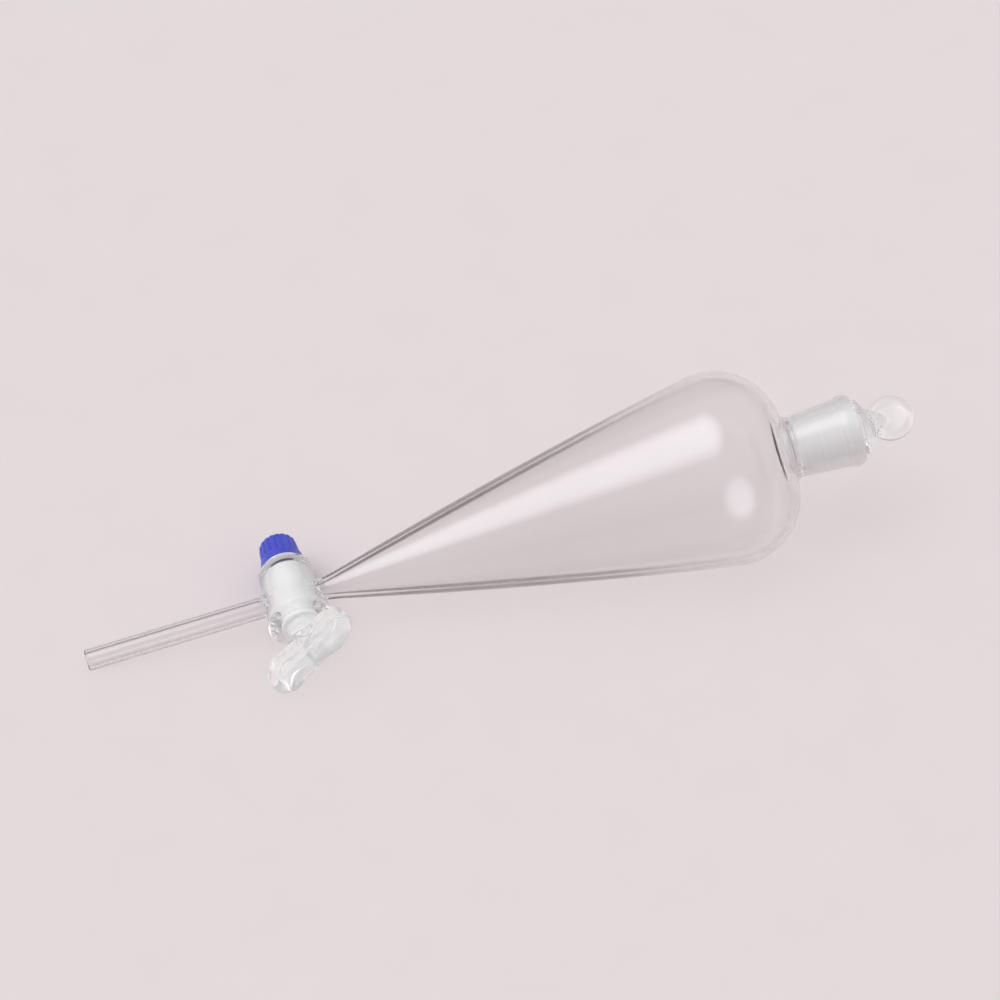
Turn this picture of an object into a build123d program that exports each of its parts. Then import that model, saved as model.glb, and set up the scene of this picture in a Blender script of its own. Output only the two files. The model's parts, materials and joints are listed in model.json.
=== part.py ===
from build123d import *
import math
import os

os.makedirs("parts", exist_ok=True)

# A 250 ml pear-shaped separatory funnel, lying at rest on a flat surface at z = 0. Lengths are in
# millimetres and angles in degrees.
# Lengths "along the funnel" run from the stopcock's centre: towards the stopper is positive, towards the
# outlet negative. Lengths "along the key" run from the same centre: towards the handle is positive.

# Funnel
wall = 1.8
tube_radius = 4.0
tube_bore_radius = 2.2
stem_tip = -79.0
stem_start = -13.0
stem_bore_radius = 2.6
tip_round = 0.9
cone_start = 12.5
shoulder_centre = 165.0
shoulder_round = 25.0
neck_radius = 11.4
neck_round = 2.5
side_angle = 10.1  # the cone side's slope where it meets the shoulder

# Ground socket and stopper, with the usual 1:10 taper on diameter
taper = 0.05  # change of radius over length
ground_start = 193.0
mouth = 217.0
mouth_bore_radius = 9.4
socket_flare_radius = 12.85  # where the socket's straight outside meets its bead
bead_start = 6.4  # back from the mouth
bead_top = 3.4
bead_end = 1.4
bead_radius = 13.6
bead_end_radius = 12.4
lip_radius = 11.5
lip_end_radius = 10.4
running_gap = 0.05
stopper_chamfer = 0.8
stopper_shoulder_radius = 10.7
stopper_neck_radius = 5.0
stopper_split = 222.0
head_centre = 229.2
head_radius = 8.7
head_thickness = 6.4
head_round = 2.6
head_dish_radius = 6.2
head_dish_depth = 0.7
head_turn = 22.0  # how far the head's face leans from straight up towards the handle's side

# Stopcock barrel
barrel_small_end = -14.2
barrel_wide_end = 13.0
small_knee = -6.8  # the waist's ends, clear of the arms' fillets
wide_knee = 6.8
small_knee_radius = 9.6
wide_knee_radius = 10.6
small_lip_radius = 10.3
wide_lip_radius = 12.1
arm_radius = 4.4
arm_fillet = 1.6
key_radius = 6.1  # ground radius at the stopcock's centre

# Key
ground_small_end = -12.9
ground_wide_end = 12.6
cross_bore_radius = 2.0
tail_end = -28.4
tail_core_radius = 4.0
thread_crest_radius = 4.6
thread_pitch = 2.0
key_split = 18.8
key_neck_radius = 5.0

# Handle: two round lobes joined by a waist, in a plane that holds the key's axis
handle_turn = 36.0  # angle from the funnel's axis
handle_centre = 27.6
lobe_offset = 11.9
lobe_radius = 8.5
waist_radius = 60.0
handle_thickness = 9.0
handle_round = 3.6
handle_recess_depth = 1.2
handle_rim = 3.2

# Washer, ring and nut
washer_thickness = 1.3
washer_radius = 8.8
washer_bore_radius = 4.85
ring_section = 1.8
ring_bore_radius = 4.9
nut_seat_gap = 0.3
nut_length = 12.9
skirt_radius = 8.05
skirt_length = 4.0
crown_radius = 7.0
rib_count = 18
rib_radius = 0.62
nut_bore_radius = 4.75
nut_thread_root = 4.2
thread_length = 8.4

# Stations along the key, from the barrel's small end outwards. The two threads start half a pitch apart.
ring_centre = barrel_small_end - washer_thickness - ring_section / 2 - 0.01
ring_seat = ring_centre - ring_section / 2 - 0.02
nut_start = barrel_small_end - washer_thickness - nut_seat_gap
nut_end = nut_start - nut_length
rib_start = nut_start - skirt_length
nut_thread_start = ring_seat - 0.6
tail_thread_start = nut_thread_start + thread_pitch / 2

# How it lies: the rounded tip of the stem and the shoulder touch the surface, and so does the lower lobe.
run = shoulder_centre - (stem_tip + tip_round)
rise = neck_radius - (tube_radius - tip_round)
rest_tilt = math.degrees(
    math.atan2(rise, run) + math.asin((shoulder_round - tip_round) / math.hypot(run, rise))
)
tilt_sin = math.sin(math.radians(rest_tilt))
tilt_cos = math.cos(math.radians(rest_tilt))
centre_height = shoulder_round + neck_radius * tilt_cos - shoulder_centre * tilt_sin
lobe_slope = math.sin(math.radians(handle_turn + rest_tilt))
edge_round = handle_thickness / 2
lobe_drop = (lobe_offset + lobe_radius - edge_round) * lobe_slope + edge_round
rest_roll = math.degrees(math.asin((lobe_drop - centre_height) / (handle_centre * tilt_cos)))

# The origin is under the middle of the whole object, on the surface.
x_min = (stem_tip + tip_round) * tilt_cos - (tube_radius - tip_round) * tilt_sin - tip_round
x_max = head_centre * tilt_cos + head_radius
y_max = neck_radius + shoulder_round
y_min = -max(handle_centre + lobe_radius, y_max)
centre = Vector(-(x_min + x_max) / 2, -(y_min + y_max) / 2, centre_height)

# Directions: along the funnel to the stopper, up from its belly, and along the key to the handle
handle_side = Vector(0, -1, 0)
along_funnel = Vector(tilt_cos, 0, tilt_sin)
above_funnel = Vector(-tilt_sin, 0, tilt_cos)
key_rise = math.radians(rest_roll)
along_key = handle_side * math.cos(key_rise) + above_funnel * math.sin(key_rise)
above_key = along_key.cross(along_funnel)
funnel_axis = Axis(centre, along_funnel)
key_axis = Axis(centre, along_key)
funnel_section = Plane(origin=centre, x_dir=along_funnel, z_dir=handle_side)
key_section = Plane(origin=centre, x_dir=along_key, z_dir=above_key)


def round_key(angle):
    """The direction square to the key at an angle from the funnel's axis, turning upwards."""
    return along_funnel * math.cos(math.radians(angle)) + above_key * math.sin(math.radians(angle))


def across_funnel(distance):
    """A plane square to the funnel's axis, at a distance along it."""
    return Plane(origin=centre + along_funnel * distance, z_dir=along_funnel)


def across_key(distance):
    """A plane square to the key's axis, at a distance along it."""
    return Plane(origin=centre + along_key * distance, z_dir=along_key)


def bulb_curve(depth, start_radius):
    """Draws the bulb's outline at a depth in the glass, from the neck down to the small end."""
    outer_arc = shoulder_round - depth
    fillet_arc = neck_round + depth
    fillet_run = math.sqrt((shoulder_round + neck_round) ** 2 - neck_round**2)
    fillet_angle = math.degrees(math.atan2(neck_round, fillet_run))
    neck_end = shoulder_centre + fillet_run
    Line((ground_start, neck_radius - depth), (neck_end, neck_radius - depth))
    CenterArc((neck_end, neck_radius + neck_round), fillet_arc, 270, -(90 - fillet_angle))
    shoulder_turn = 90 + side_angle - fillet_angle
    shoulder = CenterArc((shoulder_centre, neck_radius), outer_arc, fillet_angle, shoulder_turn)
    TangentArc(shoulder @ 1, (cone_start, start_radius), tangent=shoulder % 1)


# The bulb: cone, shoulder and neck in one even wall
with BuildPart() as cone_body:
    with BuildSketch(funnel_section):
        with BuildLine():
            bulb_curve(0, tube_radius)
            bulb_curve(wall, tube_bore_radius)
            Line((cone_start, tube_radius), (cone_start, tube_bore_radius))
            Line((ground_start, neck_radius), (ground_start, neck_radius - wall))
        make_face()
    revolve(axis=funnel_axis)

# The ground socket, with a rolled bead and a rounded lip round its mouth
with BuildPart() as ground_socket:
    small_bore_radius = mouth_bore_radius - taper * (mouth - ground_start)
    with BuildSketch(funnel_section):
        with BuildLine():
            Line((ground_start, small_bore_radius), (ground_start, neck_radius))
            bead = [
                (mouth - bead_start, socket_flare_radius),
                (mouth - bead_top, bead_radius),
                (mouth - bead_end, bead_end_radius),
            ]
            Line((ground_start, neck_radius), bead[0])
            ThreePointArc(*bead)
            ThreePointArc(bead[2], (mouth - 0.4, lip_radius), (mouth, lip_end_radius))
            Line((mouth, lip_end_radius), (mouth, mouth_bore_radius))
            Line((mouth, mouth_bore_radius), (ground_start, small_bore_radius))
        make_face()
    revolve(axis=funnel_axis)

# The drain stem, fire-polished at its tip
with BuildPart() as outlet_stem:
    with BuildSketch(across_funnel(stem_tip)):
        Circle(tube_radius)
        Circle(stem_bore_radius, mode=Mode.SUBTRACT)
    extrude(amount=stem_start - stem_tip)
    tip_edge = outlet_stem.edges().filter_by(GeomType.CIRCLE).filter_by(
        lambda edge: edge.radius > stem_bore_radius + 0.1
    ).sort_by(funnel_axis)[0]
    fillet(tip_edge, tip_round)

# The barrel: waisted, flared at the handle's end, with a side arm to the cone and one to the stem
with BuildPart() as stopcock_barrel:
    with BuildSketch(key_section):
        with BuildLine():
            small_lip = [
                (barrel_small_end, small_lip_radius - 1.1),
                (barrel_small_end + 0.4, small_lip_radius - 0.4),
                (barrel_small_end + 1.5, small_lip_radius),
            ]
            wide_lip = [
                (barrel_wide_end - 1.8, wide_lip_radius),
                (barrel_wide_end - 0.5, wide_lip_radius - 0.6),
                (barrel_wide_end, wide_lip_radius - 1.7),
            ]
            waist = [(small_knee, small_knee_radius), (wide_knee, wide_knee_radius)]
            Line((barrel_small_end, 0), small_lip[0])
            ThreePointArc(*small_lip)
            Polyline(small_lip[2], *waist, wide_lip[0])
            ThreePointArc(*wide_lip)
            Line(wide_lip[2], (barrel_wide_end, 0))
            Line((barrel_wide_end, 0), (barrel_small_end, 0))
        make_face()
    revolve(axis=key_axis)
    barrel_edges = stopcock_barrel.edges()
    with BuildSketch(across_funnel(stem_start)):
        Circle(arm_radius)
    extrude(amount=cone_start - stem_start)
    joint_edges = [
        edge
        for edge in stopcock_barrel.edges() - barrel_edges
        if edge.geom_type != GeomType.CIRCLE and edge.length > 2 * arm_radius
    ]
    fillet(joint_edges, arm_fillet)
    with BuildSketch(key_section):
        with BuildLine():
            Polyline(
                (barrel_small_end - 1, 0),
                (barrel_small_end - 1, key_radius + taper * (barrel_small_end - 1)),
                (barrel_wide_end + 1, key_radius + taper * (barrel_wide_end + 1)),
                (barrel_wide_end + 1, 0),
                close=True,
            )
        make_face()
    revolve(axis=key_axis, mode=Mode.SUBTRACT)
    with BuildSketch(across_funnel(stem_start)):
        Circle(tube_bore_radius)
    extrude(amount=cone_start - stem_start, mode=Mode.SUBTRACT)

# The stopper's ground cone and clear shoulder, solid glass
with BuildPart() as stopper_cone:
    cone_large_radius = mouth_bore_radius - running_gap
    cone_small_radius = cone_large_radius - taper * (mouth - ground_start)
    with BuildSketch(funnel_section):
        with BuildLine():
            Line((ground_start, 0), (ground_start, cone_small_radius - stopper_chamfer))
            chamfer_end = (ground_start + stopper_chamfer, cone_small_radius + stopper_chamfer * taper)
            Line((ground_start, cone_small_radius - stopper_chamfer), chamfer_end)
            Line(chamfer_end, (mouth, cone_large_radius))
            Line((mouth, cone_large_radius), (mouth + 0.5, cone_large_radius))
            Line((mouth + 0.5, cone_large_radius), (mouth + 0.5, stopper_shoulder_radius - 0.4))
            Spline(
                (mouth + 0.5, stopper_shoulder_radius - 0.4),
                (mouth + 1.2, stopper_shoulder_radius - 0.1),
                (mouth + 3.2, 7.4),
                (stopper_split, stopper_neck_radius),
                tangents=((0, 1), (1, -0.6)),
            )
            Line((stopper_split, stopper_neck_radius), (stopper_split, 0))
            Line((stopper_split, 0), (ground_start, 0))
        make_face()
    revolve(axis=funnel_axis)

# The penny head: a thick disc with softly rounded edges and a shallow dish in each face
head_lean = math.radians(head_turn)
head_plane = Plane(
    origin=centre + along_funnel * head_centre,
    x_dir=along_funnel,
    z_dir=above_funnel * math.cos(head_lean) + handle_side * math.sin(head_lean),
)
with BuildPart() as stopper_head:
    with BuildSketch(head_plane):
        Circle(head_radius)
    extrude(amount=head_thickness / 2, both=True)
    fillet(stopper_head.edges().filter_by(GeomType.CIRCLE), head_round)
    dish_curve = (head_dish_radius**2 + head_dish_depth**2) / (2 * head_dish_depth)
    for face_side in (-1, 1):
        dish_height = face_side * (head_thickness / 2 - head_dish_depth + dish_curve)
        with Locations(head_plane.origin + head_plane.z_dir * dish_height):
            Sphere(dish_curve, mode=Mode.SUBTRACT)
    with BuildSketch(across_funnel(stopper_split)):
        Circle(stopper_neck_radius)
    with BuildSketch(across_funnel(stopper_split + 5)):
        Circle(stopper_neck_radius - 2.4)
    loft()
    split(bisect_by=across_funnel(stopper_split), keep=Keep.TOP)

# The key: ground plug with a cross bore along the handle, a smooth collar and a threaded tail
with BuildPart() as key_plug:
    with BuildSketch(key_section):
        with BuildLine():
            plug_radius = key_radius - running_gap
            Polyline(
                (tail_end, 0),
                (tail_end, tail_core_radius - 0.6),
                (tail_end + 0.8, tail_core_radius),
                (ground_small_end - 0.6, tail_core_radius),
                (ground_small_end, plug_radius + taper * ground_small_end - 0.5),
                (ground_small_end + 0.5, plug_radius + taper * (ground_small_end + 0.5)),
                (ground_wide_end, plug_radius + taper * ground_wide_end),
                (ground_wide_end + 1.6, plug_radius + taper * ground_wide_end),
                (key_split - 1.6, key_neck_radius),
                (key_split, key_neck_radius),
                (key_split, 0),
                close=True,
            )
        make_face()
    revolve(axis=key_axis)
    with BuildSketch(Plane(origin=centre, z_dir=round_key(handle_turn))):
        Circle(cross_bore_radius)
    extrude(amount=key_radius + 2, both=True, mode=Mode.SUBTRACT)


def thread_ridge(start, length, root, crest, root_width, crest_width):
    """A right-hand helical ridge round the key's axis, from a distance along it towards the tail's end."""
    foot = centre + along_key * start
    helix = Helix(pitch=thread_pitch, height=length, radius=root, center=foot, direction=along_key * -1)
    with BuildPart() as ridge:
        ridge_out = (helix @ 0 - foot).normalized()
        with BuildSketch(Plane(origin=helix @ 0, x_dir=ridge_out, z_dir=helix % 0)):
            with BuildLine():
                Polyline(
                    (0, -root_width / 2),
                    (crest - root, -crest_width / 2),
                    (crest - root, crest_width / 2),
                    (0, root_width / 2),
                    close=True,
                )
            make_face()
        sweep(path=helix, is_frenet=True)
    return ridge.part


tail_ridge = thread_ridge(
    tail_thread_start, thread_length, tail_core_radius - 0.1, thread_crest_radius, 1.15, 0.45
)
with key_plug:
    add(tail_ridge)

# The handle: rounded all over, with a shallow recess in each face that leaves a rim round both lobes
handle_plane = Plane(
    origin=centre + along_key * handle_centre,
    x_dir=round_key(handle_turn),
    z_dir=round_key(handle_turn + 90),
)


def two_lobes(inset):
    """The handle's outline, or the recess inside it: two circles and the waist between them."""
    for lobe_side in (-1, 1):
        with Locations((lobe_side * lobe_offset, 0)):
            Circle(lobe_radius - inset)
    Rectangle(2 * lobe_offset, 2 * (lobe_radius - inset))
    outer = waist_radius + inset
    waist_centre = math.sqrt((waist_radius + lobe_radius) ** 2 - lobe_offset**2)
    for waist_side in (-1, 1):
        with Locations((0, waist_side * waist_centre)):
            Circle(outer, mode=Mode.SUBTRACT)


with BuildPart() as key_handle:
    with BuildSketch(handle_plane):
        two_lobes(0)
    extrude(amount=handle_thickness / 2, both=True)
    rims = [
        edge
        for edge in key_handle.edges()
        if abs(abs(handle_plane.to_local_coords(edge.center()).Z) - handle_thickness / 2) < 0.01
    ]
    fillet(rims, handle_round)
    for face_side in (-1, 1):
        recess_plane = handle_plane.offset(face_side * (handle_thickness / 2 - handle_recess_depth))
        with BuildSketch(recess_plane):
            two_lobes(handle_rim)
        extrude(amount=face_side * 2 * handle_recess_depth, mode=Mode.SUBTRACT)
    with BuildSketch(across_key(key_split)):
        Circle(key_neck_radius)
    extrude(amount=handle_centre - key_split)
    split(bisect_by=across_key(key_split), keep=Keep.TOP)

# The flat slip washer, against the barrel's small end
with BuildPart() as ptfe_washer:
    with BuildSketch(across_key(barrel_small_end - washer_thickness)):
        Circle(washer_radius)
        Circle(washer_bore_radius, mode=Mode.SUBTRACT)
    extrude(amount=washer_thickness)
    chamfer(ptfe_washer.edges().filter_by(GeomType.CIRCLE).sort_by(SortBy.RADIUS)[-2:], 0.25)

# The rubber ring, between the washer and the nut's seat
with BuildPart() as o_ring:
    with BuildSketch(key_section):
        with Locations((ring_centre, ring_bore_radius + ring_section / 2)):
            Circle(ring_section / 2)
    revolve(axis=key_axis)

# The ribbed nut: a smooth skirt, a ribbed crown that narrows to its end, and a recess for the ring
with BuildPart() as retaining_nut:
    with BuildSketch(key_section):
        with BuildLine():
            Polyline(
                (nut_start, ring_bore_radius + ring_section + 0.3),
                (nut_start, skirt_radius),
                (rib_start, skirt_radius - 0.3),
                (rib_start - 0.5, skirt_radius - 0.9),
                (nut_end + 0.8, crown_radius),
                (nut_end, crown_radius - 0.8),
                (nut_end, nut_bore_radius),
                (ring_seat, nut_bore_radius),
                (ring_seat, ring_bore_radius + ring_section + 0.3),
                close=True,
            )
        make_face()
    revolve(axis=key_axis)
    rib_foot = skirt_radius - 0.95
    rib_top = crown_radius - 0.1
    for index in range(rib_count):
        outwards = round_key(index * 360 / rib_count)
        foot = centre + along_key * (rib_start + 0.3) + outwards * rib_foot
        top = centre + along_key * (nut_end + 0.5) + outwards * rib_top
        with BuildSketch(Plane(origin=foot, z_dir=top - foot)):
            Circle(rib_radius)
        extrude(amount=(top - foot).length)

nut_ridge = thread_ridge(
    nut_thread_start, thread_length, nut_bore_radius + 0.1, nut_thread_root, 0.95, 0.4
)
with retaining_nut:
    add(nut_ridge)

cone_body.part.label = "cone_body"
ground_socket.part.label = "ground_socket"
outlet_stem.part.label = "outlet_stem"
stopcock_barrel.part.label = "stopcock_barrel"
stopper_cone.part.label = "stopper_cone"
stopper_head.part.label = "stopper_head"
key_plug.part.label = "key_plug"
key_handle.part.label = "key_handle"
ptfe_washer.part.label = "ptfe_washer"
o_ring.part.label = "o_ring"
retaining_nut.part.label = "retaining_nut"

export_step(cone_body.part, "parts/cone_body.step")
export_step(ground_socket.part, "parts/ground_socket.step")
export_step(outlet_stem.part, "parts/outlet_stem.step")
export_step(stopcock_barrel.part, "parts/stopcock_barrel.step")
export_step(stopper_cone.part, "parts/stopper_cone.step")
export_step(stopper_head.part, "parts/stopper_head.step")
export_step(key_plug.part, "parts/key_plug.step")
export_step(key_handle.part, "parts/key_handle.step")
export_step(ptfe_washer.part, "parts/ptfe_washer.step")
export_step(o_ring.part, "parts/o_ring.step")
export_step(retaining_nut.part, "parts/retaining_nut.step")

print("rest tilt", round(rest_tilt, 3), "rest roll", round(rest_roll, 3), "centre", centre)
print("along funnel", along_funnel, "along key", along_key)
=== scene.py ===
"""The looks of a 250 ml separatory funnel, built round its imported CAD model. It runs inside Blender."""

import json
import math

import bmesh
import bpy
from mathutils import Matrix, Vector


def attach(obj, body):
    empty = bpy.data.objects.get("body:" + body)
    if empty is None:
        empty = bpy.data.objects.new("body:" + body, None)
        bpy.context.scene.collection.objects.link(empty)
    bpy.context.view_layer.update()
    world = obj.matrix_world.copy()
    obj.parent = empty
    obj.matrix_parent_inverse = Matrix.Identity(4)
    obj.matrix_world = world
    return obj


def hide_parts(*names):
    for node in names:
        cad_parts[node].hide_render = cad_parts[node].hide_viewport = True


MM = 0.001
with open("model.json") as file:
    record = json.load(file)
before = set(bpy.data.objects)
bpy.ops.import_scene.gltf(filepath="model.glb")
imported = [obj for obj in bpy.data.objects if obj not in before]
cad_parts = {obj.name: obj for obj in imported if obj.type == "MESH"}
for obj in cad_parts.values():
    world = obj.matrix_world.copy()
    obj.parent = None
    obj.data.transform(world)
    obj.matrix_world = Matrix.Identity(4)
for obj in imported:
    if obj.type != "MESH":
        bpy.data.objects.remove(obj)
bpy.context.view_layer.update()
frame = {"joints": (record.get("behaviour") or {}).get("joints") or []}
joints = {joint["name"]: joint for joint in frame["joints"]}

# Directions and the stopcock's centre come from the record's joints
centre = Vector(joints["key_turn"]["pos_m"])
along_funnel = Vector(joints["stopper_lift"]["axis"]).normalized()
along_key = Vector(joints["key_turn"]["axis"]).normalized()
above_key = along_key.cross(along_funnel).normalized()
handle_side = Vector((0, -1, 0))
above_funnel = along_funnel.cross(handle_side).normalized()
if above_funnel.z < 0:
    above_funnel.negate()

# Driving dimensions in millimetres, the CAD model's but for the collar and the ribs. Stations run from the
# stopcock's centre, towards the stopper along the funnel, and towards the handle along the key. An outline is
# a list of (station, radius) points, and the small offsets in it shape rims, flares and rounds.
WALL = 1.8
TUBE_RADIUS = 4.0
TUBE_BORE = 2.2
STEM_BORE = 2.6
STEM_TIP = -79.0
STEM_START = -13.0
CONE_START = 12.5
SHOULDER_CENTRE = 165.0
SHOULDER_ROUND = 25.0
NECK_RADIUS = 11.4
NECK_ROUND = 2.5
SIDE_ANGLE = 10.1
TAPER = 0.05
GROUND_START = 193.0
MOUTH = 217.0
MOUTH_BORE = 9.4
BEAD_RADIUS = 13.6
GAP = 0.05
HEAD_SPLIT = 222.0
HEAD_CENTRE = 229.2
HEAD_RADIUS = 8.7
HEAD_THICKNESS = 6.4
HEAD_TURN = 22.0
BARREL_SMALL = -14.2
BARREL_WIDE = 13.0
KEY_RADIUS = 6.1
GROUND_SMALL = -12.9
GROUND_WIDE = 12.6
COLLAR_RADIUS = 7.4
COLLAR_END = 14.9
CROSS_BORE = 2.0
TAIL_END = -28.4
TAIL_CORE = 4.0
THREAD_CREST = 4.6
THREAD_PITCH = 2.0
THREAD_LENGTH = 8.4
KEY_SPLIT = 18.8
KEY_NECK = 5.0
HANDLE_TURN = 36.0
HANDLE_CENTRE = 27.6
LOBE_OFFSET = 11.9
LOBE_RADIUS = 8.5
WAIST_RADIUS = 60.0
HANDLE_THICKNESS = 9.0
WASHER_THICKNESS = 1.3
WASHER_RADIUS = 8.8
WASHER_BORE = 4.85
RING_SECTION = 1.8
RING_BORE = 4.9
SEAT_GAP = 0.3
NUT_LENGTH = 12.9
SKIRT_RADIUS = 8.05
SKIRT_LENGTH = 4.0
CROWN_RADIUS = 6.6
RIB_ROOT = SKIRT_RADIUS - 0.95
RIB_COUNT = 18
RIB_HEIGHT = 0.5
RIB_FLATNESS = 0.4
RIB_SINK = 0.1
NUT_BORE = 4.75
RING_CENTRE = BARREL_SMALL - WASHER_THICKNESS - RING_SECTION / 2 - 0.01
RING_SEAT = RING_CENTRE - RING_SECTION / 2 - 0.02
NUT_START = BARREL_SMALL - WASHER_THICKNESS - SEAT_GAP
NUT_END = NUT_START - NUT_LENGTH
NUT_THREAD_START = RING_SEAT - 0.6
TAIL_THREAD_START = NUT_THREAD_START + THREAD_PITCH / 2


def placed(origin, z_axis, x_axis):
    """The matrix that takes local millimetres to the row frame, with z and x along the given directions."""
    y_axis = z_axis.cross(x_axis).normalized()
    turn = Matrix((x_axis.normalized(), y_axis, z_axis.normalized())).transposed().to_4x4()
    return Matrix.Translation(origin) @ turn @ Matrix.Scale(MM, 4)


def key_direction(angle):
    """The direction square to the key at an angle from the funnel's axis, turning upwards."""
    return along_funnel * math.cos(math.radians(angle)) + above_key * math.sin(math.radians(angle))


funnel_place = placed(centre, along_funnel, handle_side)
key_place = placed(centre, along_key, along_funnel)
head_lean = math.radians(HEAD_TURN)
head_normal = above_funnel * math.cos(head_lean) + handle_side * math.sin(head_lean)
head_place = placed(centre + along_funnel * HEAD_CENTRE * MM, head_normal, along_funnel)
handle_place = placed(
    centre + along_key * HANDLE_CENTRE * MM, key_direction(HANDLE_TURN + 90), key_direction(HANDLE_TURN)
)


# Mesh helpers


def arc(station, radius, size, start, end, steps):
    """Points on an arc in the (station, radius) section, with angles from the station's direction."""
    angles = [math.radians(start + (end - start) * i / steps) for i in range(steps + 1)]
    return [(station + size * math.cos(a), radius + size * math.sin(a)) for a in angles]


def softened(points, cut, closed=False, steps=6):
    """The same path with each corner rounded off over a cut length."""
    count = len(points)
    result = [] if closed else [points[0]]
    for i in range(count) if closed else range(1, count - 1):
        before, here, after = (Vector(points[j % count]) for j in (i - 1, i, i + 1))
        back, ahead = before - here, after - here
        first = here + back * min(cut / back.length, 0.45)
        last = here + ahead * min(cut / ahead.length, 0.45)
        for step in range(steps + 1):
            t = step / steps
            result.append(tuple(first * (1 - t) ** 2 + here * 2 * t * (1 - t) + last * t**2))
    return result if closed else result + [points[-1]]


def subdivided(points, longest):
    """The same path with no stretch longer than a given length."""
    result = [points[0]]
    for start, end in zip(points, points[1:]):
        span = math.dist(start, end)
        pieces = max(1, math.ceil(span / longest))
        result += [
            tuple(a + (b - a) * i / pieces for a, b in zip(start, end)) for i in range(1, pieces + 1)
        ]
    return result


def new_object(name, vertices, faces, place, materials=(), indices=None):
    """A mesh object from local millimetres."""
    mesh = bpy.data.meshes.new(name)
    mesh.from_pydata([place @ Vector(v) for v in vertices], [], faces)
    for material in materials:
        mesh.materials.append(material)
    if indices:
        mesh.polygons.foreach_set("material_index", indices)
    mesh.update()
    piece = bpy.data.objects.new(name, mesh)
    bpy.context.scene.collection.objects.link(piece)
    return piece


def turned(name, outline, place, materials=(), segments=128, closed=False, ground=None, relief=None):
    """A solid of revolution, whose open outline starts and ends on the axis.

    Faces between the two ground stations take the second material, and relief adds to the radius.
    """
    vertices, faces, indices, rings = [], [], [], []
    for station, radius in outline:
        if radius < 1e-6 and not closed:
            rings.append([len(vertices)])
            vertices.append((0, 0, station))
            continue
        rings.append(list(range(len(vertices), len(vertices) + segments)))
        for i in range(segments):
            angle = 2 * math.pi * i / segments
            reach = radius + (relief(station, radius, angle) if relief else 0)
            vertices.append((reach * math.cos(angle), reach * math.sin(angle), station))
    pairs = list(zip(range(len(rings)), range(1, len(rings))))
    if closed:
        pairs.append((len(rings) - 1, 0))
    for a, b in pairs:
        middle = (outline[a][0] + outline[b][0]) / 2
        shade = 1 if ground and ground[0] <= middle <= ground[1] else 0
        first, second = rings[a], rings[b]
        for i in range(segments):
            j = (i + 1) % segments
            if len(first) == 1:
                faces.append((first[0], second[j], second[i]))
            elif len(second) == 1:
                faces.append((first[i], first[j], second[0]))
            else:
                faces.append((first[i], first[j], second[j], second[i]))
            indices.append(shade)
    piece = new_object(name, vertices, faces, place, materials, indices)
    outwards(piece)
    return piece


def outwards(piece):
    """Turns every face outwards."""
    work = bmesh.new()
    work.from_mesh(piece.data)
    bmesh.ops.recalc_face_normals(work, faces=work.faces)
    work.to_mesh(piece.data)
    work.free()


def settle(piece):
    """Applies every modifier on a piece."""
    depsgraph = bpy.context.evaluated_depsgraph_get()
    mesh = bpy.data.meshes.new_from_object(piece.evaluated_get(depsgraph), depsgraph=depsgraph)
    piece.modifiers.clear()
    piece.data = mesh
    return piece


def combined(piece, other, operation):
    """The exact boolean of two pieces, which keeps the other's materials on its faces."""
    step = piece.modifiers.new("combine", "BOOLEAN")
    step.operation = operation
    step.solver = "EXACT"
    step.material_mode = "TRANSFER"
    step.object = other
    settle(piece)
    bpy.data.objects.remove(other)
    return piece


def fused(piece, voxel, passes, material):
    """Melts a piece's parts together, with soft joints between them. The voxel is in millimetres."""
    remesh = piece.modifiers.new("fuse", "REMESH")
    remesh.mode = "VOXEL"
    remesh.voxel_size = voxel * MM
    smooth = piece.modifiers.new("soften", "SMOOTH")
    smooth.factor = 0.5
    smooth.iterations = passes
    settle(piece)
    piece.data.materials.clear()
    piece.data.materials.append(material)
    return piece


def joined(first, *others):
    """One object of several loose meshes."""
    work = bmesh.new()
    for piece in (first, *others):
        work.from_mesh(piece.data)
    work.to_mesh(first.data)
    work.free()
    for piece in others:
        bpy.data.objects.remove(piece)
    return first


def smooth_shaded(piece, angle=35):
    """Smooth shading, with edges sharper than an angle kept crisp."""
    piece.data.polygons.foreach_set("use_smooth", [True] * len(piece.data.polygons))
    piece.data.set_sharp_from_angle(angle=math.radians(angle))


# Materials


def link(material, source, target):
    material.node_tree.links.new(source, target)


def started(name):
    """A new node material and its Principled shader."""
    material = bpy.data.materials.new(name)
    material.use_nodes = True
    return material, material.node_tree.nodes.get("Principled BSDF")


def object_point(material):
    return material.node_tree.nodes.new("ShaderNodeTexCoord").outputs["Object"]


def noise(material, scale, detail=2.0, vector=None):
    """A noise texture with this many features a metre."""
    texture = material.node_tree.nodes.new("ShaderNodeTexNoise")
    texture.inputs["Scale"].default_value = scale
    texture.inputs["Detail"].default_value = detail
    link(material, vector or object_point(material), texture.inputs["Vector"])
    return texture.outputs["Fac"]


def reach_along(material, vector, direction):
    """How far a vector reaches in a direction."""
    dot = material.node_tree.nodes.new("ShaderNodeVectorMath")
    dot.operation = "DOT_PRODUCT"
    dot.inputs[1].default_value = direction
    link(material, vector, dot.inputs[0])
    return dot.outputs["Value"]


def rings_along(material, axis, scale):
    """Fine rings round an axis, as many a metre as scale."""
    texture = material.node_tree.nodes.new("ShaderNodeTexNoise")
    texture.noise_dimensions = "1D"
    texture.inputs["Scale"].default_value = scale
    texture.inputs["Detail"].default_value = 3
    link(material, reach_along(material, object_point(material), axis), texture.inputs["W"])
    return texture.outputs["Fac"]


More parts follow.
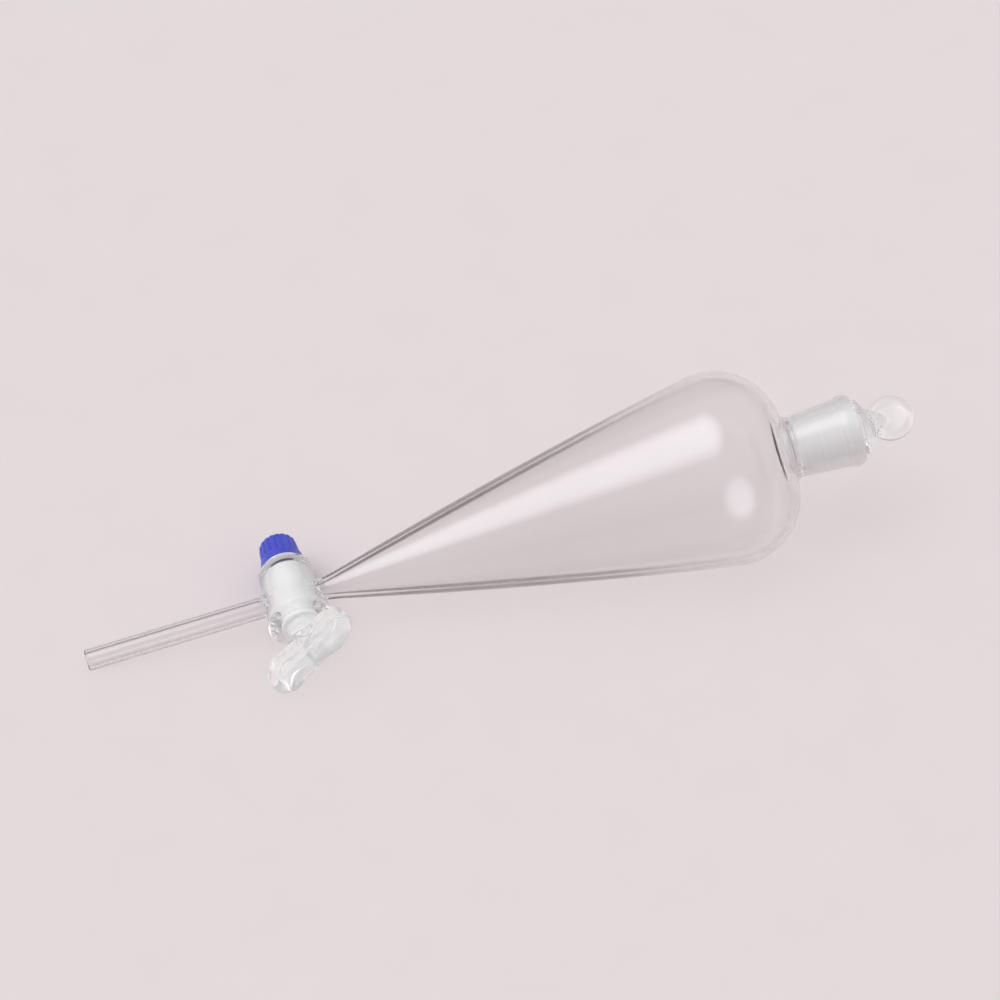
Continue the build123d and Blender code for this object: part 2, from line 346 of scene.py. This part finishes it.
def bump(material, height, strength, distance, previous=None):
    node = material.node_tree.nodes.new("ShaderNodeBump")
    node.inputs["Strength"].default_value = strength
    node.inputs["Distance"].default_value = distance
    link(material, height, node.inputs["Height"])
    if previous:
        link(material, previous, node.inputs["Normal"])
    return node.outputs["Normal"]


def spread(material, value, start, end, low=0.0, high=1.0, smooth=False):
    """A value that goes from low to high while another goes from start to end."""
    node = material.node_tree.nodes.new("ShaderNodeMapRange")
    if smooth:
        node.interpolation_type = "SMOOTHSTEP"
    for name, bound in (("From Min", start), ("From Max", end), ("To Min", low), ("To Max", high)):
        if isinstance(bound, bpy.types.NodeSocket):
            link(material, bound, node.inputs[name])
        else:
            node.inputs[name].default_value = bound
    link(material, value, node.inputs["Value"])
    return node.outputs["Result"]


def ranged(material, value, low, high):
    """A noise's usual values spread from low to high."""
    return spread(material, value, 0.3, 0.7, low, high)


def two_colours(material, value, first, second):
    """A mix of two colours, each given as numbers or as another node's output."""
    node = material.node_tree.nodes.new("ShaderNodeMix")
    node.data_type = "RGBA"
    link(material, value, node.inputs["Factor"])
    for side, colour in (("A", first), ("B", second)):
        if isinstance(colour, tuple):
            node.inputs[side].default_value = (*colour, 1)
        else:
            link(material, colour, node.inputs[side])
    return node.outputs["Result"]


def lets_light_through(material, shader, share):
    """Lets the room's light through the glass, a little dimmed, so that its shadow stays faint."""
    nodes = material.node_tree.nodes
    output = nodes.get("Material Output")
    path = nodes.new("ShaderNodeLightPath")
    either = nodes.new("ShaderNodeMath")
    either.operation = "MAXIMUM"
    link(material, path.outputs["Is Shadow Ray"], either.inputs[0])
    link(material, path.outputs["Is Diffuse Ray"], either.inputs[1])
    clear = nodes.new("ShaderNodeBsdfTransparent")
    clear.inputs["Color"].default_value = (share, share, share, 1)
    mix = nodes.new("ShaderNodeMixShader")
    link(material, either.outputs["Value"], mix.inputs["Fac"])
    link(material, shader.outputs["BSDF"], mix.inputs[1])
    link(material, clear.outputs["BSDF"], mix.inputs[2])
    link(material, mix.outputs["Shader"], output.inputs["Surface"])


def along(material, first, last, low, high):
    """A value that goes from low to high between two stations along the funnel."""
    start = centre.dot(along_funnel)
    place = reach_along(material, object_point(material), along_funnel)
    return spread(material, place, start + first * MM, start + last * MM, low, high)


def fill_ramp(node, tones):
    """Sets a colour ramp's elements from (position, colour) pairs."""
    elements = node.color_ramp.elements
    while len(elements) < len(tones):
        elements.new(0.5)
    for element, (position, colour) in zip(elements, tones):
        element.position = position
        element.color = (*colour, 1)


def by_station(material, tones):
    """A colour that changes along the funnel, from (station, colour) pairs."""
    first, last = tones[0][0], tones[-1][0]
    node = material.node_tree.nodes.new("ShaderNodeValToRGB")
    fill_ramp(node, [((station - first) / (last - first), colour) for station, colour in tones])
    link(material, along(material, first, last, 0, 1), node.inputs["Fac"])
    return node.outputs["Color"]


def clear_glass(name, body, edge, waviness, clear=1.0, roughness=0.0):
    """Clear glass with the faint waviness of a worked surface, and a darkening along its edges where the
    surface is seen at a glance. It is partly the glass's own tint over a longer path, and partly painted
    shade for the dark lines along the edges.

    Body and edge are colours, or lists of (station, colour). With lists the painted edge shade changes along
    the funnel, and it also narrows towards the wide bulb, where the wall is a smaller share of the glass.
    """
    material, shader = started(name)
    glance = material.node_tree.nodes.new("ShaderNodeLayerWeight")
    glance.inputs["Blend"].default_value = 0.5
    start, end = 0.5, 0.9
    if isinstance(body, list):
        start, end = along(material, 15, 130, 0.4, 0.64), along(material, 15, 130, 0.53, 0.77)
        body, edge = by_station(material, body), by_station(material, edge)
    # Painted shade: the base colour turns towards the edge colour where the surface is seen at a glance
    steep = spread(material, glance.outputs["Facing"], start, end, smooth=True)
    tint_and_edge_shade = two_colours(material, steep, body, edge)
    link(material, tint_and_edge_shade, shader.inputs["Base Color"])
    shader.inputs["IOR"].default_value = 1.474
    shader.inputs["Transmission Weight"].default_value = clear
    shader.inputs["Roughness"].default_value = roughness
    slow = bump(material, noise(material, 90), waviness, 0.0006)
    ripple = bump(material, noise(material, 420), waviness * 0.4, 0.0001, slow)
    link(material, ripple, shader.inputs["Normal"])
    lets_light_through(material, shader, 0.975)
    return material


def ground_surface(name, axis, dull, bright, clear):
    """Ground glass: white, matt and slightly see-through, with the rings that grinding leaves."""
    material, shader = started(name)
    tone = ranged(material, rings_along(material, axis, 900), 0, 1)
    link(material, two_colours(material, tone, dull, bright), shader.inputs["Base Color"])
    shader.inputs["IOR"].default_value = 1.474
    shader.inputs["Transmission Weight"].default_value = clear
    link(material, ranged(material, noise(material, 300), 0.55, 0.7), shader.inputs["Roughness"])
    grain = bump(material, noise(material, 6000, 1), 0.25, 0.00004)
    marks = bump(material, rings_along(material, axis, 1500), 0.3, 0.00005, grain)
    link(material, marks, shader.inputs["Normal"])
    lets_light_through(material, shader, 0.92)
    return material


# Each glass's second colour is painted shade for the dark lines along its edges, darkest along the cone. The
# borosilicate's body also clears towards the bulb's wide end.
borosilicate = clear_glass(
    "borosilicate glass",
    [(100, (0.935, 0.925, 0.927)), (165, (0.958, 0.951, 0.953))],
    [
        (-16, (0.6, 0.58, 0.585)),
        (10, (0.15, 0.13, 0.135)),
        (118, (0.13, 0.11, 0.115)),
        (166, (0.8, 0.78, 0.785)),
    ],
    0.05,
)
barrel_glass = clear_glass("barrel glass", (0.98, 0.975, 0.975), (0.7, 0.68, 0.68), 0.08)
pressed_glass = clear_glass("pressed glass", (0.985, 0.985, 0.985), (0.8, 0.79, 0.79), 0.25)
handle_glass = clear_glass(
    "handle glass", (0.985, 0.982, 0.98), (0.9, 0.89, 0.888), 0.3, clear=0.84, roughness=0.07
)

# The dull and the bright tone of ground glass, with rings between them
GREY_WHITE = ((0.78, 0.765, 0.77), (0.84, 0.825, 0.83))
WHITE = ((0.84, 0.84, 0.843), (0.9, 0.9, 0.902))
socket_ground = ground_surface("ground socket", along_funnel, *GREY_WHITE, 0.5)
barrel_ground = ground_surface("ground barrel", along_key, *WHITE, 0.4)
stopper_ground = ground_surface("ground stopper", along_funnel, *GREY_WHITE, 0.5)
plug_ground = ground_surface("ground plug", along_key, *WHITE, 0.4)


def blue_plastic():
    material, shader = started("blue polypropylene")
    tone = ranged(material, noise(material, 260, 3), 0, 1)
    blue = two_colours(material, tone, (0.048, 0.056, 0.46), (0.065, 0.08, 0.57))
    link(material, blue, shader.inputs["Base Color"])
    link(material, ranged(material, noise(material, 1500), 0.28, 0.38), shader.inputs["Roughness"])
    shader.inputs["Subsurface Weight"].default_value = 0.08
    shader.inputs["Subsurface Radius"].default_value = (0.1, 0.12, 0.5)
    shader.inputs["Subsurface Scale"].default_value = 0.0012
    link(material, bump(material, noise(material, 5200, 1), 0.25, 0.00003), shader.inputs["Normal"])
    return material


def waxy_white():
    material, shader = started("ptfe")
    tone = ranged(material, noise(material, 500, 3), 0, 1)
    white = two_colours(material, tone, (0.72, 0.71, 0.73), (0.8, 0.79, 0.81))
    link(material, white, shader.inputs["Base Color"])
    shader.inputs["Roughness"].default_value = 0.42
    shader.inputs["Subsurface Weight"].default_value = 0.35
    shader.inputs["Subsurface Radius"].default_value = (1.0, 1.0, 1.0)
    shader.inputs["Subsurface Scale"].default_value = 0.001
    turning = bump(material, rings_along(material, along_key, 2400), 0.2, 0.00003)
    link(material, turning, shader.inputs["Normal"])
    return material


def white_rubber():
    material, shader = started("ring rubber")
    tone = ranged(material, noise(material, 800, 3), 0, 1)
    white = two_colours(material, tone, (0.68, 0.68, 0.67), (0.75, 0.75, 0.74))
    link(material, white, shader.inputs["Base Color"])
    shader.inputs["Roughness"].default_value = 0.62
    link(material, bump(material, noise(material, 4200, 2), 0.4, 0.00004), shader.inputs["Normal"])
    return material


nut_blue = blue_plastic()
ptfe = waxy_white()
rubber = white_rubber()

# The funnel: one closed body of glass, from the stem's tip to the socket's mouth


def bulb_side(depth, start_radius):
    """The cone's side at a depth in the glass: an arc that meets the shoulder at its slope."""
    slope = math.radians(SIDE_ANGLE)
    end = (
        SHOULDER_CENTRE - (SHOULDER_ROUND - depth) * math.sin(slope),
        NECK_RADIUS + (SHOULDER_ROUND - depth) * math.cos(slope),
    )
    run, rise = end[0] - CONE_START, end[1] - start_radius
    chord_angle = math.atan2(rise, run)
    size = math.hypot(run, rise) / 2 / math.sin(chord_angle - slope)
    middle = (end[0] + size * math.sin(slope), end[1] - size * math.cos(slope))
    return arc(*middle, size, 90 + math.degrees(2 * chord_angle - slope), 90 + SIDE_ANGLE, 40)


def bulb(depth, start_radius):
    """The bulb's section from its small end to the neck."""
    run = math.sqrt((SHOULDER_ROUND + NECK_ROUND) ** 2 - NECK_ROUND**2)
    turn = math.degrees(math.atan2(NECK_ROUND, run))
    side = bulb_side(depth, start_radius)
    shoulder = arc(SHOULDER_CENTRE, NECK_RADIUS, SHOULDER_ROUND - depth, 90 + SIDE_ANGLE, turn, 56)
    neck = arc(
        SHOULDER_CENTRE + run, NECK_RADIUS + NECK_ROUND, NECK_ROUND + depth, 180 + turn, 270, 14
    )
    return side, shoulder[1:] + neck[1:]


side, crown = bulb(0, TUBE_RADIUS)
tip = arc(STEM_TIP + 0.9, TUBE_RADIUS - 0.9, 0.9, 180, 90, 8)
into_cone = softened([(CONE_START - 7, TUBE_RADIUS), side[0], side[3]], 6)
socket = softened(
    [
        (GROUND_START - 3, NECK_RADIUS),
        (GROUND_START, NECK_RADIUS + 0.1),
        (MOUTH - 6.4, BEAD_RADIUS - 0.75),
        (MOUTH - 4.8, BEAD_RADIUS - 0.1),
        (MOUTH - 3.2, BEAD_RADIUS),
        (MOUTH - 1.6, BEAD_RADIUS - 0.5),
        (MOUTH - 0.2, 12.2),
        (MOUTH, 10.6),
        (MOUTH, 9.6),
    ],
    1.6,
)
outer = [(STEM_TIP, 0)] + subdivided(tip + into_cone, 3) + side[4:] + crown
outer += subdivided(socket, 2) + [(MOUTH, 0)]
funnel_glass = turned("funnel_glass", outer, funnel_place, [borosilicate], segments=192)

# The barrel is melted on to the tube, so it is fused with two short arms
lip = softened(
    [
        (BARREL_SMALL, 0),
        (BARREL_SMALL, 9.3),
        (BARREL_SMALL + 0.7, 10.4),
        (BARREL_SMALL + 2.6, 10.3),
        (-7.5, 9.7),
        (1.0, 9.8),
        (7.0, 10.9),
        (BARREL_WIDE - 2.2, 12.1),
        (BARREL_WIDE - 0.3, 12.0),
        (BARREL_WIDE, 10.6),
        (BARREL_WIDE, 0),
    ],
    1.3,
)
barrel = turned("barrel", subdivided(lip, 0.8), key_place, segments=96)
arm = turned(
    "arm",
    [
        (STEM_START, 0),
        (STEM_START, 3.7),
        (STEM_START + 1.0, 4.03),
        (-9.6, 4.5),
        (9.6, 4.5),
        (-STEM_START - 0.4, 4.2),
        (-STEM_START + 0.6, 3.8),
        (-STEM_START + 0.6, 0),
    ],
    funnel_place,
    segments=64,
)
barrel = fused(joined(barrel, arm), 0.3, 9, barrel_glass)
funnel_glass = combined(funnel_glass, barrel, "UNION")

# Inside it: the bore of the socket, the bulb and the tube, and the key's tapered bore
inner_side, inner_crown = bulb(WALL, TUBE_BORE)
mouth_flare = [
    (MOUTH + 1, 11.4), (MOUTH + 0.1, 10.2), (MOUTH - 0.5, 9.55), (MOUTH - 1.3, MOUTH_BORE - TAPER * 1.3),
]
small_end = MOUTH_BORE - TAPER * (MOUTH - GROUND_START)
bore = (
    [(STEM_TIP - 1, 0), (STEM_TIP - 1, 3.3)]
    + softened([(STEM_TIP - 0.3, 3.2), (STEM_TIP + 0.5, STEM_BORE), (STEM_START + 1, STEM_BORE)], 0.8)
    + [(STEM_START + 4, TUBE_BORE)]
    + subdivided(softened([(CONE_START - 5, TUBE_BORE), inner_side[0], inner_side[4]], 5), 2)
    + inner_side[5:]
    + inner_crown
    + softened(
        [
            (GROUND_START - 2.6, NECK_RADIUS - WALL),
            (GROUND_START - 0.6, small_end + 0.2),
            (GROUND_START + 0.6, small_end + 0.03),
        ],
        0.8,
    )
    + subdivided([(GROUND_START + 1, small_end + 0.05), mouth_flare[3]], 2)
    + mouth_flare[2::-1]
    + [(MOUTH + 1, 0)]
)
cutter = turned(
    "bore", bore, funnel_place, [borosilicate, socket_ground], 192, ground=(GROUND_START, MOUTH - 2.2)
)
funnel_glass = combined(funnel_glass, cutter, "DIFFERENCE")
key_bore = [
    (BARREL_SMALL - 1, 0),
    (BARREL_SMALL - 1, KEY_RADIUS + TAPER * BARREL_SMALL + 0.9),
    (BARREL_SMALL + 0.5, KEY_RADIUS + TAPER * (BARREL_SMALL + 0.5)),
    (BARREL_WIDE - 0.9, KEY_RADIUS + TAPER * (BARREL_WIDE - 0.9)),
    (BARREL_WIDE + 1, KEY_RADIUS + TAPER * BARREL_WIDE + 1.3),
    (BARREL_WIDE + 1, 0),
]
cutter = turned(
    "key_bore",
    subdivided(key_bore, 1),
    key_place,
    [borosilicate, barrel_ground],
    segments=160,
    ground=(GROUND_SMALL, GROUND_WIDE - 0.8),
)
funnel_glass = combined(funnel_glass, cutter, "DIFFERENCE")
smooth_shaded(funnel_glass)
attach(funnel_glass, "funnel")
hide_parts("cone_body", "ground_socket", "stopcock_barrel", "outlet_stem")

# The stopper: a ground cone, a clear shoulder and the penny head, pressed in one piece
large = MOUTH_BORE - GAP
cone_end = large - TAPER * (MOUTH - GROUND_START)
cone = (
    softened(
        [(GROUND_START, 0), (GROUND_START, cone_end - 0.4), (GROUND_START + 1.6, cone_end + TAPER * 1.6)],
        1.2,
    )
    + [(MOUTH - 0.6, large - 0.03)]
    + softened(
        [
            (MOUTH + 0.2, large),
            (MOUTH + 0.5, 10.0),
            (MOUTH + 1.0, 10.6),
            (MOUTH + 2.0, 9.6),
            (MOUTH + 3.3, 6.9),
            (HEAD_SPLIT, 5.0),
            (HEAD_SPLIT + 1.6, 4.7),
        ],
        1.2,
    )
    + [(HEAD_SPLIT + 1.6, 0)]
)
stopper_glass = turned(
    "stopper_glass",
    subdivided(cone, 2),
    funnel_place,
    [pressed_glass, stopper_ground],
    segments=160,
    ground=(GROUND_START + 1.2, MOUTH - 0.8),
)
half = HEAD_THICKNESS / 2
disc = softened(
    [
        (-half + 0.7, 0),
        (-half + 0.62, 2.5),
        (-half + 0.25, 5.0),
        (-half, 6.6),
        (-half + 1.0, HEAD_RADIUS - 0.4),
        (0, HEAD_RADIUS + 0.25),
        (half - 1.0, HEAD_RADIUS - 0.4),
        (half, 6.6),
        (half - 0.25, 5.0),
        (half - 0.62, 2.5),
        (half - 0.7, 0),
    ],
    1.3,
)
head = turned("head", disc, head_place, segments=96)
neck = turned(
    "neck",
    [
        (HEAD_SPLIT + 0.4, 0),
        (HEAD_SPLIT + 0.4, 4.95),
        (HEAD_SPLIT + 2.4, 4.2),
        (HEAD_SPLIT + 5.5, 2.6),
        (HEAD_SPLIT + 5.5, 0),
    ],
    funnel_place,
    segments=64,
)
head = fused(joined(head, neck), 0.25, 18, pressed_glass)
stopper_glass = combined(stopper_glass, head, "UNION")
smooth_shaded(stopper_glass)
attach(stopper_glass, "stopper")
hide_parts("stopper_cone", "stopper_head")


# The key: ground plug, clear neck, two-lobed handle and threaded tail


def thread(start, height, width):
    """The relief of a thread that runs from a station towards the tail's end."""

    def relief(station, radius, angle):
        depth = start - station
        if not 0 < depth < THREAD_LENGTH + THREAD_PITCH:
            return 0
        phase = (depth / THREAD_PITCH + angle / (2 * math.pi)) % 1
        away = abs(phase - 0.5) * THREAD_PITCH
        fade = min(1, depth / 0.8, (THREAD_LENGTH + THREAD_PITCH - depth) / 0.8)
        return height * fade * max(0, min(1, (width - away) / (width * 0.6)))

    return relief


plug_small = KEY_RADIUS - GAP + TAPER * (GROUND_SMALL + 0.6)
plug_wide = KEY_RADIUS - GAP + TAPER * GROUND_WIDE
plug = subdivided(
    [(TAIL_END, 0)]
    + softened(
        [(TAIL_END, TAIL_CORE - 0.9), (TAIL_END + 0.1, TAIL_CORE - 0.1), (TAIL_END + 1.2, TAIL_CORE)], 0.5
    )
    + subdivided([(TAIL_END + 1.3, TAIL_CORE), (GROUND_SMALL - 1.5, TAIL_CORE)], 0.12)
    + softened(
        [
            (GROUND_SMALL - 0.9, TAIL_CORE),
            (GROUND_SMALL - 0.2, plug_small - 0.7),
            (GROUND_SMALL + 0.7, plug_small),
        ],
        0.5,
    )
    + [(GROUND_WIDE, plug_wide)]
    + softened(
        [
            (BARREL_WIDE + 0.1, plug_wide),
            (BARREL_WIDE + 0.5, COLLAR_RADIUS),
            (COLLAR_END, COLLAR_RADIUS),
            (COLLAR_END + 0.5, KEY_NECK + 0.3),
            (KEY_SPLIT - 1.4, KEY_NECK),
            (KEY_SPLIT + 1.5, KEY_NECK - 0.1),
        ],
        0.5,
    )
    + [(KEY_SPLIT + 1.5, 0)],
    1.0,
)
key_glass = turned(
    "key_glass",
    plug,
    key_place,
    [pressed_glass, plug_ground],
    segments=144,
    ground=(GROUND_SMALL + 0.4, COLLAR_END + 0.2),
    relief=thread(TAIL_THREAD_START + THREAD_PITCH / 2, THREAD_CREST - TAIL_CORE, 0.55),
)
bore_place = placed(centre, key_direction(HANDLE_TURN), along_key)
cross = turned(
    "cross_bore",
    [(-9, 0), (-9, CROSS_BORE), (9, CROSS_BORE), (9, 0)],
    bore_place,
    [pressed_glass],
    segments=64,
)
key_glass = combined(key_glass, cross, "DIFFERENCE")


def lobed_outline(inset, steps=40):
    """The handle's outline at an inset: two round lobes and the shallow waist between them."""
    waist = math.sqrt((WAIST_RADIUS + LOBE_RADIUS) ** 2 - LOBE_OFFSET**2)
    turn = math.degrees(math.atan2(waist, LOBE_OFFSET))
    size = LOBE_RADIUS - inset
    right = arc(LOBE_OFFSET, 0, size, -(180 - turn), 180 - turn, steps)
    top = arc(0, waist, WAIST_RADIUS + inset, -turn, -(180 - turn), steps // 2)[1:-1]
    left = arc(-LOBE_OFFSET, 0, size, turn, 360 - turn, steps)
    bottom = arc(0, -waist, WAIST_RADIUS + inset, 180 - turn, turn, steps // 2)[1:-1]
    return right + top + left + bottom


def handle_blank():
    """The handle's body: round edges, and in each face a rim round a sunk middle."""
    top = HANDLE_THICKNESS / 2
    section = [
        (0, 0), (0.25, 1.7), (1.0, 3.2), (2.0, 4.2), (3.0, top), (3.7, top - 0.15), (4.3, top - 0.75),
        (4.8, top - 1.2), (5.6, top - 1.25), (6.6, top - 1.15),
    ]
    section = softened(section, 0.6, steps=2)
    rings = [(inset, -height) for inset, height in reversed(section)] + section[1:]
    vertices, faces = [], []
    for inset, height in rings:
        vertices += [(x, y, height) for x, y in lobed_outline(inset)]
    count = len(vertices) // len(rings)
    for ring in range(len(rings) - 1):
        for i in range(count):
            j = (i + 1) % count
            a, b = ring * count, (ring + 1) * count
            faces.append((a + i, a + j, b + j, b + i))
    last = (len(rings) - 1) * count
    faces += [tuple(reversed(range(count))), tuple(range(last, last + count))]
    piece = new_object("handle", vertices, faces, handle_place)
    outwards(piece)
    return piece


stub = turned(
    "stub",
    [
        (KEY_SPLIT - 0.6, 0),
        (KEY_SPLIT - 0.6, KEY_NECK + 0.02),
        (KEY_SPLIT + 3, KEY_NECK),
        (HANDLE_CENTRE - 1, 3.6),
        (HANDLE_CENTRE - 1, 0),
    ],
    key_place,
    segments=64,
)
handle = fused(joined(handle_blank(), stub), 0.28, 6, handle_glass)
key_glass = combined(key_glass, handle, "UNION")
smooth_shaded(key_glass)
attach(key_glass, "key")
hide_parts("key_plug", "key_handle")

# The washer and the rubber ring
half_washer = [
    (BARREL_SMALL, WASHER_BORE),
    (BARREL_SMALL, WASHER_RADIUS),
    (BARREL_SMALL - WASHER_THICKNESS, WASHER_RADIUS),
    (BARREL_SMALL - WASHER_THICKNESS, WASHER_BORE),
]
half_washer = softened(half_washer, 0.4, closed=True, steps=4)
washer = turned("slip_washer", half_washer, key_place, [ptfe], closed=True)
smooth_shaded(washer)
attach(washer, "washers")
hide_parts("ptfe_washer")
ring = turned(
    "rubber_ring",
    arc(RING_CENTRE, RING_BORE + RING_SECTION / 2, RING_SECTION / 2, 0, 360, 24)[:-1],
    key_place,
    [rubber],
    segments=96,
    closed=True,
)
smooth_shaded(ring)
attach(ring, "washers")
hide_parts("o_ring")

# The nut: a smooth skirt, ribs that run up to the crown, and a thread inside
skirt_end = NUT_START - SKIRT_LENGTH
nut_outside = softened(
    [
        (RING_SEAT, NUT_BORE),
        (RING_SEAT, RING_BORE + RING_SECTION + 0.3),
        (NUT_START, RING_BORE + RING_SECTION + 0.3),
        (NUT_START, SKIRT_RADIUS + 0.25),
        (skirt_end, SKIRT_RADIUS - 0.1),
        (skirt_end - 0.35, RIB_ROOT),
        (NUT_END + 1.4, CROWN_RADIUS),
        (NUT_END + 0.2, CROWN_RADIUS - 0.6),
        (NUT_END, CROWN_RADIUS - 1.6),
        (NUT_END, NUT_BORE + 0.3),
    ],
    0.3,
    steps=4,
)
nut_inside = subdivided([(NUT_END + 0.5, NUT_BORE), (RING_SEAT - 0.15, NUT_BORE)], 0.12)
nut_thread = thread(NUT_THREAD_START + THREAD_PITCH / 2, 0.55, 0.5)


def nut_relief(station, radius, angle):
    """Ribs outside, and the thread inside. The ribs fade out at the skirt and at the crown's end."""
    if radius < NUT_BORE + 0.05:
        return -nut_thread(station, radius, angle)
    crown_slope = (CROWN_RADIUS - RIB_ROOT) / (skirt_end - NUT_END - 1.0)
    root = RIB_ROOT + (skirt_end - station) * crown_slope
    if station > skirt_end - 0.2 or radius < root - 0.7:
        return 0
    fade = max(0, min(1, (skirt_end - 0.2 - station) / 0.5, (station - NUT_END + 0.05) / 0.7))
    wave = 0.5 + 0.5 * math.cos(RIB_COUNT * angle)
    return fade * (RIB_HEIGHT * wave**RIB_FLATNESS - RIB_SINK)


nut = turned(
    "ribbed_nut",
    subdivided(nut_outside, 0.45) + nut_inside,
    key_place,
    [nut_blue],
    segments=RIB_COUNT * 18,
    closed=True,
    relief=nut_relief,
)
smooth_shaded(nut, 50)
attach(nut, "nut")
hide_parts("retaining_nut")

# The stage: a pale board, an even light room and a large soft light


def board():
    material, shader = started("pale board")
    tone = ranged(material, noise(material, 40, 4), 0, 1)
    pale = two_colours(material, tone, (0.688, 0.628, 0.634), (0.698, 0.637, 0.643))
    link(material, pale, shader.inputs["Base Color"])
    shader.inputs["Roughness"].default_value = 0.9
    shader.inputs["Specular IOR Level"].default_value = 0.1
    return material


mesh = bpy.data.meshes.new("board")
reach = 2.2
corners = [(-reach, -reach, 0), (reach, -reach, 0), (reach, reach, 0), (-reach, reach, 0)]
mesh.from_pydata(corners, [], [(0, 1, 2, 3)])
mesh.materials.append(board())
floor = bpy.data.objects.new("board", mesh)
bpy.context.scene.collection.objects.link(floor)


room = bpy.data.worlds.new("room")
bpy.context.scene.world = room
room.use_nodes = True
room_nodes = room.node_tree.nodes
background = room_nodes.get("Background") or room_nodes.new("ShaderNodeBackground")
sight = room_nodes.new("ShaderNodeTexCoord").outputs["Generated"]


def toward(azimuth, elevation):
    a, e = math.radians(azimuth), math.radians(elevation)
    return Vector((math.sin(a) * math.cos(e), -math.cos(a) * math.cos(e), math.sin(e)))


def facing(direction, edge, core):
    """From 0 outside a cone round a direction to 1 inside it, smoothly. Both angles are in degrees."""
    alignment = reach_along(room, sight, direction)
    return spread(room, alignment, math.cos(math.radians(edge)), math.cos(math.radians(core)), smooth=True)


ramp = room_nodes.new("ShaderNodeValToRGB")
greys = [(0.0, 0.5), (0.3, 0.58), (0.6, 0.68), (1.0, 0.7)]
fill_ramp(ramp, [(height, (grey, grey, grey)) for height, grey in greys])
sight_parts = room_nodes.new("ShaderNodeSeparateXYZ")
link(room, sight, sight_parts.inputs["Vector"])
link(room, sight_parts.outputs["Z"], ramp.inputs["Fac"])
dim_wall = two_colours(room, facing(toward(180, 4), 40, 24), ramp.outputs["Color"], (0.3, 0.3, 0.3))
softbox = two_colours(room, facing(toward(-98, 62), 34, 4), dim_wall, (3.5, 3.51, 3.56))
link(room, softbox, background.inputs["Color"])
background.inputs["Strength"].default_value = 1.045

scene = bpy.context.scene
scene.view_settings.view_transform = "Standard"
scene.cycles.caustics_reflective = False
scene.cycles.caustics_refractive = False
scene.cycles.max_bounces = 24
scene.cycles.glossy_bounces = 24
scene.cycles.transmission_bounces = 24
scene.cycles.transparent_max_bounces = 32


def camera(target, azimuth, elevation, roll, distance, lens):
    """A long-lens camera that faces a target."""
    a, r = math.radians(azimuth), math.radians(roll)
    back = toward(azimuth, elevation)
    right = Vector((math.cos(a), math.sin(a), 0))
    up = back.cross(right)
    right, up = right * math.cos(r) + up * math.sin(r), up * math.cos(r) - right * math.sin(r)
    data = bpy.data.cameras.new("camera")
    data.lens = lens
    data.sensor_width = 36
    data.clip_end = 20
    seen = bpy.data.objects.new("camera", data)
    turn = Matrix((right, up, back)).transposed().to_4x4()
    seen.matrix_world = Matrix.Translation(Vector(target) + back * distance) @ turn
    scene.collection.objects.link(seen)
    scene.camera = seen


camera((0.00524, 0.02209, 0.020), -11.89, 46.61, -2.90, 2.5, 243.4)
